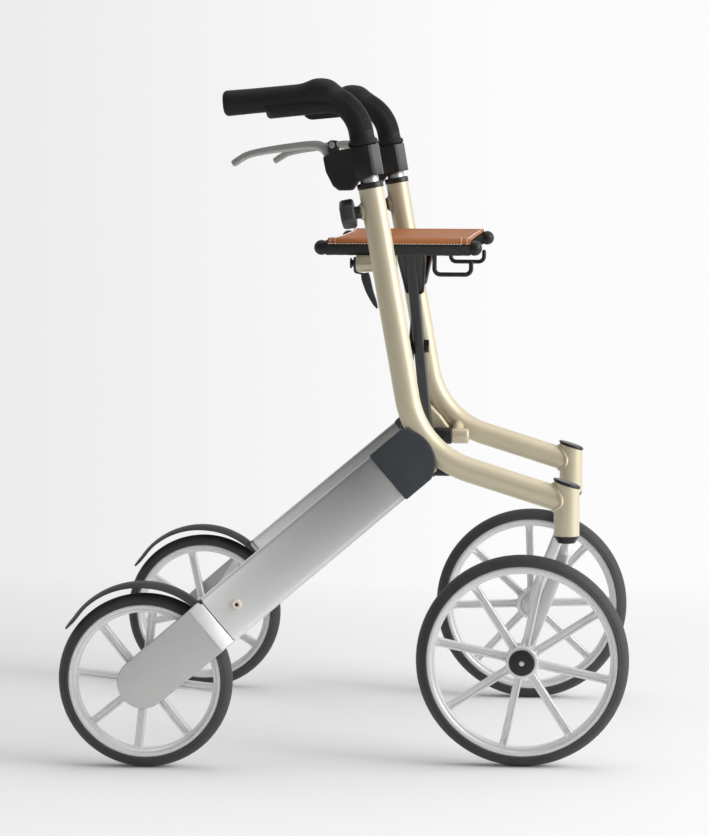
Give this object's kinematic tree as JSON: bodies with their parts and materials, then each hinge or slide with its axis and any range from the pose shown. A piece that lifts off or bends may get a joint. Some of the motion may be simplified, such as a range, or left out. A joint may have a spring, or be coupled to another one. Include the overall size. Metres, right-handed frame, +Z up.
{
  "type": "all terrain rollator",
  "caption": "Folding walking frame with spoked wheels, leaning side tubes, box-section rear legs, a leather sling seat on crossed arms, and height-adjustable grips with brake levers.",
  "frame": {"origin": "on the floor, below the middle of the length and width", "axes": "+X forward (towards the front wheels), +Y to the user's left, +Z up"},
  "size_m": [0.6664, 0.619, 0.8044],
  "materials": {
    "champagne": "satin champagne paint",
    "silver_paint": "satin silver paint",
    "rim_silver": "satin silver lacquer",
    "lever_metal": "cast, satin",
    "steel": "turned",
    "charcoal": "fine grain",
    "black_plastic": "satin",
    "arm_black": "satin black paint",
    "rubber": "soft, matte",
    "tyre": "matte",
    "leather": "smooth tan leather, white stitching"
  },
  "bodies": {
    "left_frame": {"left_side_frame": "champagne", "left_head_cap": "black_plastic", "left_steering_bushes": "black_plastic", "left_beam": "silver_paint", "left_beam_cover": "charcoal", "left_rear_fork": "silver_paint", "left_frame_bolts": "steel", "left_mudguard": "charcoal", "left_post_bush": "black_plastic", "left_rear_axle": "steel"},
    "left_catch": {"left_fold_catch": "charcoal"},
    "left_brake": {"left_brake_shoe": "rubber"},
    "left_handle": {"left_handle_post": "silver_paint", "left_grip": "rubber", "left_brake_housing": "black_plastic", "left_lever_pin": "steel"},
    "left_lever": {"left_brake_lever": "lever_metal"},
    "left_knob": {"left_clamp_knob": "charcoal"},
    "left_caster": {"left_front_fork": "silver_paint", "left_front_axle": "steel"},
    "left_front_wheel": {"left_front_rim": "rim_silver", "left_front_tyre": "tyre", "left_front_bearings": "steel", "left_hub_cap": "black_plastic"},
    "left_rear_wheel": {"left_rear_rim": "rim_silver", "left_rear_tyre": "tyre", "left_rear_bearings": "steel"},
    "right_frame": {"right_side_frame": "champagne", "right_head_cap": "black_plastic", "right_steering_bushes": "black_plastic", "right_beam": "silver_paint", "right_beam_cover": "charcoal", "right_rear_fork": "silver_paint", "right_frame_bolts": "steel", "right_mudguard": "charcoal", "right_post_bush": "black_plastic", "right_rear_axle": "steel"},
    "right_catch": {"right_fold_catch": "charcoal"},
    "right_brake": {"right_brake_shoe": "rubber"},
    "right_handle": {"right_handle_post": "silver_paint", "right_grip": "rubber", "right_brake_housing": "black_plastic", "right_lever_pin": "steel"},
    "right_lever": {"right_brake_lever": "lever_metal"},
    "right_knob": {"right_clamp_knob": "charcoal"},
    "right_caster": {"right_front_fork": "silver_paint", "right_front_axle": "steel"},
    "right_front_wheel": {"right_front_rim": "rim_silver", "right_front_tyre": "tyre", "right_front_bearings": "steel", "right_hub_cap": "black_plastic"},
    "right_rear_wheel": {"right_rear_rim": "rim_silver", "right_rear_tyre": "tyre", "right_rear_bearings": "steel"},
    "rear_cross": {"rear_arm": "arm_black", "left_rail": "arm_black"},
    "front_cross": {"front_arm": "arm_black", "right_rail": "arm_black", "arm_pivot": "steel", "seat_sling": "leather"}
  },
  "joints": [
    {"name": "fold", "type": "hinge", "parent": "right_frame", "child": "rear_cross", "pos_m": [0.07, -0.208, 0.348], "axis": [1, 0, 0], "range_deg": [0, 43], "deforming": ["seat_sling"]},
    {"name": "arm_cross", "type": "hinge", "parent": "rear_cross", "child": "front_cross", "pos_m": [0.07, 0, 0.47819], "axis": [1, 0, 0], "range_deg": [-86, 0]},
    {"name": "left_fold", "type": "hinge", "parent": "front_cross", "child": "left_frame", "pos_m": [0.07, 0.208, 0.348], "axis": [1, 0, 0], "range_deg": [0, 43]},
    {"name": "left_caster_swivel", "type": "hinge", "parent": "left_frame", "child": "left_caster", "pos_m": [0.25875, 0.24, 0.2926], "axis": [0, 0, 1], "continuous": true},
    {"name": "left_front_wheel_spin", "type": "hinge", "parent": "left_caster", "child": "left_front_wheel", "pos_m": [0.20825, 0.24, 0.125], "axis": [0, 1, 0], "continuous": true},
    {"name": "left_rear_wheel_spin", "type": "hinge", "parent": "left_frame", "child": "left_rear_wheel", "pos_m": [-0.23075, 0.283, 0.1025], "axis": [0, 1, 0], "continuous": true},
    {"name": "left_handle_height", "type": "slide", "parent": "left_frame", "child": "left_handle", "axis": [-0.1754, 0, 0.9845], "range_m": [0, 0.12]},
    {"name": "left_knob_turn", "type": "hinge", "parent": "left_frame", "child": "left_knob", "pos_m": [0.00905, 0.24, 0.64772], "axis": [0.9845, 0, 0.1754], "range_deg": [0, 360]},
    {"name": "left_lever_squeeze", "type": "hinge", "parent": "left_handle", "child": "left_lever", "pos_m": [-0.01648, 0.24, 0.72657], "axis": [0, 1, 0], "range_deg": [0, 14], "stiffness_Nm_per_rad": 3, "springref_deg": -11.46},
    {"name": "left_brake_slide", "type": "slide", "parent": "left_frame", "child": "left_brake", "axis": [-0.7636, 0, -0.6457], "range_m": [0, 0.003]},
    {"name": "left_catch_swing", "type": "hinge", "parent": "left_frame", "child": "left_catch", "pos_m": [0.005, 0.208, 0.58825], "axis": [-1, 0, 0], "range_deg": [0, 25], "stiffness_Nm_per_rad": 0.1, "springref_deg": -11.46},
    {"name": "right_caster_swivel", "type": "hinge", "parent": "right_frame", "child": "right_caster", "pos_m": [0.25875, -0.24, 0.2926], "axis": [0, 0, 1], "continuous": true},
    {"name": "right_front_wheel_spin", "type": "hinge", "parent": "right_caster", "child": "right_front_wheel", "pos_m": [0.20825, -0.24, 0.125], "axis": [0, 1, 0], "continuous": true},
    {"name": "right_rear_wheel_spin", "type": "hinge", "parent": "right_frame", "child": "right_rear_wheel", "pos_m": [-0.23075, -0.283, 0.1025], "axis": [0, 1, 0], "continuous": true},
    {"name": "right_handle_height", "type": "slide", "parent": "right_frame", "child": "right_handle", "axis": [-0.1754, 0, 0.9845], "range_m": [0, 0.12]},
    {"name": "right_knob_turn", "type": "hinge", "parent": "right_frame", "child": "right_knob", "pos_m": [0.00905, -0.24, 0.64772], "axis": [0.9845, 0, 0.1754], "range_deg": [0, 360]},
    {"name": "right_lever_squeeze", "type": "hinge", "parent": "right_handle", "child": "right_lever", "pos_m": [-0.01648, -0.24, 0.72657], "axis": [0, 1, 0], "range_deg": [0, 14], "stiffness_Nm_per_rad": 3, "springref_deg": -11.46},
    {"name": "right_brake_slide", "type": "slide", "parent": "right_frame", "child": "right_brake", "axis": [-0.7636, 0, -0.6457], "range_m": [0, 0.003]},
    {"name": "right_catch_swing", "type": "hinge", "parent": "right_frame", "child": "right_catch", "pos_m": [0.005, -0.208, 0.58825], "axis": [1, 0, 0], "range_deg": [0, 25], "stiffness_Nm_per_rad": 0.1, "springref_deg": -11.46}
  ],
  "couplings": [
    {"joint": "arm_cross", "follows": "fold", "ratio": -2},
    {"joint": "left_fold", "follows": "fold", "ratio": 1},
    {"joint": "left_brake_slide", "follows": "left_lever_squeeze", "m_per_rad": 0.012276},
    {"joint": "right_brake_slide", "follows": "right_lever_squeeze", "m_per_rad": 0.012276}
  ]
}
